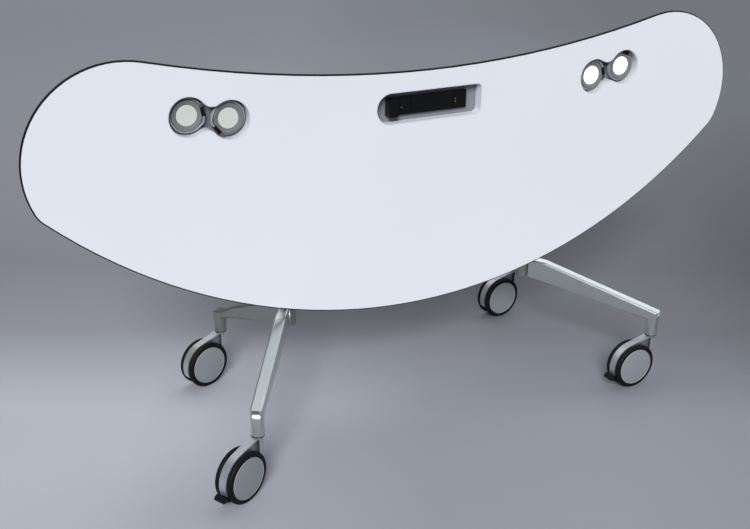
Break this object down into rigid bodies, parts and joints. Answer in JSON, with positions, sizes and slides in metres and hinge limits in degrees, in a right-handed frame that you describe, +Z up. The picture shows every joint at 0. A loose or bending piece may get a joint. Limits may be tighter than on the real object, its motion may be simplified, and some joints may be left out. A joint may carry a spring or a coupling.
{
  "type": "mobile collaborative table",
  "caption": "Crescent flip-top table on V-shaped cast legs with braked twin-wheel casters, a power slot and wells that hold push-button wireless pucks.",
  "frame": {"origin": "centre of the bounding box on the floor", "axes": "+X along the table, -Y the way the turned-up worktop faces, +Z up; rest pose is the worktop turned up for storage"},
  "size_m": [1.9542, 0.6288, 0.9535],
  "materials": {
    "laminate": "white laminate on wood board",
    "edge": "matt black",
    "liner": "fine matt",
    "power": "matt black",
    "contact": "polished",
    "casting": "satin cast",
    "tube": "satin silver",
    "fixing": "plated",
    "stem": "plated",
    "buffer": "matt",
    "housing": "satin silver",
    "disc": "satin grey",
    "tread": "matt",
    "black": "matt black",
    "puck": "satin grey",
    "button": "satin diffuser",
    "lead": "smooth pale grey"
  },
  "bodies": {
    "base": {"front_arm_left": "casting", "front_arm_right": "casting", "rear_arm_left": "casting", "rear_arm_right": "casting", "column_left": "tube", "column_right": "tube", "column_head_left": "casting", "column_head_right": "casting", "cross_tube": "tube", "top_buffers": "buffer", "leg_bolts": "fixing", "caster_stems": "stem"},
    "top": {"worktop_panel": "laminate", "edge_band": "edge", "well_liner_left": "liner", "well_liner_right": "liner", "power_tray": "liner", "power_strip": "power", "power_contacts": "contact", "tilt_brackets": "casting", "top_screws": "fixing"},
    "release": {"release_rod": "fixing", "latch_pawls": "fixing", "release_paddle": "black", "release_spring": "fixing"},
    "caster_front_left": {"caster_housing_front_left": "housing"},
    "wheel_front_left_a": {"wheel_front_left_a": "disc", "tyre_front_left_a": "tread"},
    "wheel_front_left_b": {"wheel_front_left_b": "disc", "tyre_front_left_b": "tread"},
    "pedal_front_left": {"brake_pedal_front_left": "black"},
    "caster_front_right": {"caster_housing_front_right": "housing"},
    "wheel_front_right_a": {"wheel_front_right_a": "disc", "tyre_front_right_a": "tread"},
    "wheel_front_right_b": {"wheel_front_right_b": "disc", "tyre_front_right_b": "tread"},
    "pedal_front_right": {"brake_pedal_front_right": "black"},
    "caster_rear_left": {"caster_housing_rear_left": "housing"},
    "wheel_rear_left_a": {"wheel_rear_left_a": "disc", "tyre_rear_left_a": "tread"},
    "wheel_rear_left_b": {"wheel_rear_left_b": "disc", "tyre_rear_left_b": "tread"},
    "caster_rear_right": {"caster_housing_rear_right": "housing"},
    "wheel_rear_right_a": {"wheel_rear_right_a": "disc", "tyre_rear_right_a": "tread"},
    "wheel_rear_right_b": {"wheel_rear_right_b": "disc", "tyre_rear_right_b": "tread"},
    "puck_left_outer": {"puck_shell_left_outer": "puck", "puck_lead_left_outer": "lead"},
    "button_left_outer": {"puck_button_left_outer": "button"},
    "puck_left_inner": {"puck_shell_left_inner": "puck", "puck_lead_left_inner": "lead"},
    "button_left_inner": {"puck_button_left_inner": "button"},
    "puck_right_inner": {"puck_shell_right_inner": "puck", "puck_lead_right_inner": "lead"},
    "button_right_inner": {"puck_button_right_inner": "button"},
    "puck_right_outer": {"puck_shell_right_outer": "puck", "puck_lead_right_outer": "lead"},
    "button_right_outer": {"puck_button_right_outer": "button"}
  },
  "joints": [
    {"name": "flip", "type": "hinge", "parent": "base", "child": "top", "pos_m": [0, 0.09239, 0.67], "axis": [-1, 0, 0], "range_deg": [0, 90]},
    {"name": "release", "type": "hinge", "parent": "top", "child": "release", "pos_m": [0, 0.07839, 0.722], "axis": [1, 0, 0], "range_deg": [0, 12], "stiffness_Nm_per_rad": 0.5, "springref_deg": -17.19},
    {"name": "swivel_front_left", "type": "hinge", "parent": "base", "child": "caster_front_left", "pos_m": [-0.5715, -0.23631, 0.13], "axis": [0, 0, 1], "continuous": true},
    {"name": "roll_front_left_a", "type": "hinge", "parent": "caster_front_left", "child": "wheel_front_left_a", "pos_m": [-0.62619, -0.26551, 0.0625], "axis": [-0.471, 0.8821, 0], "continuous": true},
    {"name": "roll_front_left_b", "type": "hinge", "parent": "caster_front_left", "child": "wheel_front_left_b", "pos_m": [-0.62619, -0.26551, 0.0625], "axis": [-0.471, 0.8821, 0], "continuous": true},
    {"name": "brake_front_left", "type": "hinge", "parent": "caster_front_left", "child": "pedal_front_left", "pos_m": [-0.65897, -0.28301, 0.02904], "axis": [0.471, -0.8821, 0], "range_deg": [0, 12]},
    {"name": "swivel_front_right", "type": "hinge", "parent": "base", "child": "caster_front_right", "pos_m": [0.5715, -0.23631, 0.13], "axis": [0, 0, 1], "continuous": true},
    {"name": "roll_front_right_a", "type": "hinge", "parent": "caster_front_right", "child": "wheel_front_right_a", "pos_m": [0.5095, -0.23696, 0.0625], "axis": [-0.0105, 0.9999, 0], "continuous": true},
    {"name": "roll_front_right_b", "type": "hinge", "parent": "caster_front_right", "child": "wheel_front_right_b", "pos_m": [0.5095, -0.23696, 0.0625], "axis": [-0.0105, 0.9999, 0], "continuous": true},
    {"name": "brake_front_right", "type": "hinge", "parent": "caster_front_right", "child": "pedal_front_right", "pos_m": [0.47235, -0.23735, 0.02904], "axis": [0.0105, -0.9999, 0], "range_deg": [0, 12]},
    {"name": "swivel_rear_left", "type": "hinge", "parent": "base", "child": "caster_rear_left", "pos_m": [-0.4795, 0.29039, 0.13], "axis": [0, 0, 1], "continuous": true},
    {"name": "roll_rear_left_a", "type": "hinge", "parent": "caster_rear_left", "child": "wheel_rear_left_a", "pos_m": [-0.53794, 0.26969, 0.0625], "axis": [-0.3338, 0.9426, 0], "continuous": true},
    {"name": "roll_rear_left_b", "type": "hinge", "parent": "caster_rear_left", "child": "wheel_rear_left_b", "pos_m": [-0.53794, 0.26969, 0.0625], "axis": [-0.3338, 0.9426, 0], "continuous": true},
    {"name": "swivel_rear_right", "type": "hinge", "parent": "base", "child": "caster_rear_right", "pos_m": [0.4795, 0.29039, 0.13], "axis": [0, 0, 1], "continuous": true},
    {"name": "roll_rear_right_a", "type": "hinge", "parent": "caster_rear_right", "child": "wheel_rear_right_a", "pos_m": [0.41786, 0.28369, 0.0625], "axis": [-0.108, 0.9942, 0], "continuous": true},
    {"name": "roll_rear_right_b", "type": "hinge", "parent": "caster_rear_right", "child": "wheel_rear_right_b", "pos_m": [0.41786, 0.28369, 0.0625], "axis": [-0.108, 0.9942, 0], "continuous": true},
    {"name": "lift_left_outer", "type": "slide", "parent": "top", "child": "puck_left_outer", "axis": [0, -1, 0], "range_m": [0, 0.06]},
    {"name": "press_left_outer", "type": "slide", "parent": "puck_left_outer", "child": "button_left_outer", "axis": [0, 1, 0], "range_m": [0, 0.0015], "stiffness_N_per_m": 800, "springref_m": -0.001},
    {"name": "lift_left_inner", "type": "slide", "parent": "top", "child": "puck_left_inner", "axis": [0, -1, 0], "range_m": [0, 0.06]},
    {"name": "press_left_inner", "type": "slide", "parent": "puck_left_inner", "child": "button_left_inner", "axis": [0, 1, 0], "range_m": [0, 0.0015], "stiffness_N_per_m": 800, "springref_m": -0.001},
    {"name": "lift_right_inner", "type": "slide", "parent": "top", "child": "puck_right_inner", "axis": [0, -1, 0], "range_m": [0, 0.06]},
    {"name": "press_right_inner", "type": "slide", "parent": "puck_right_inner", "child": "button_right_inner", "axis": [0, 1, 0], "range_m": [0, 0.0015], "stiffness_N_per_m": 800, "springref_m": -0.001},
    {"name": "lift_right_outer", "type": "slide", "parent": "top", "child": "puck_right_outer", "axis": [0, -1, 0], "range_m": [0, 0.06]},
    {"name": "press_right_outer", "type": "slide", "parent": "puck_right_outer", "child": "button_right_outer", "axis": [0, 1, 0], "range_m": [0, 0.0015], "stiffness_N_per_m": 800, "springref_m": -0.001}
  ]
}
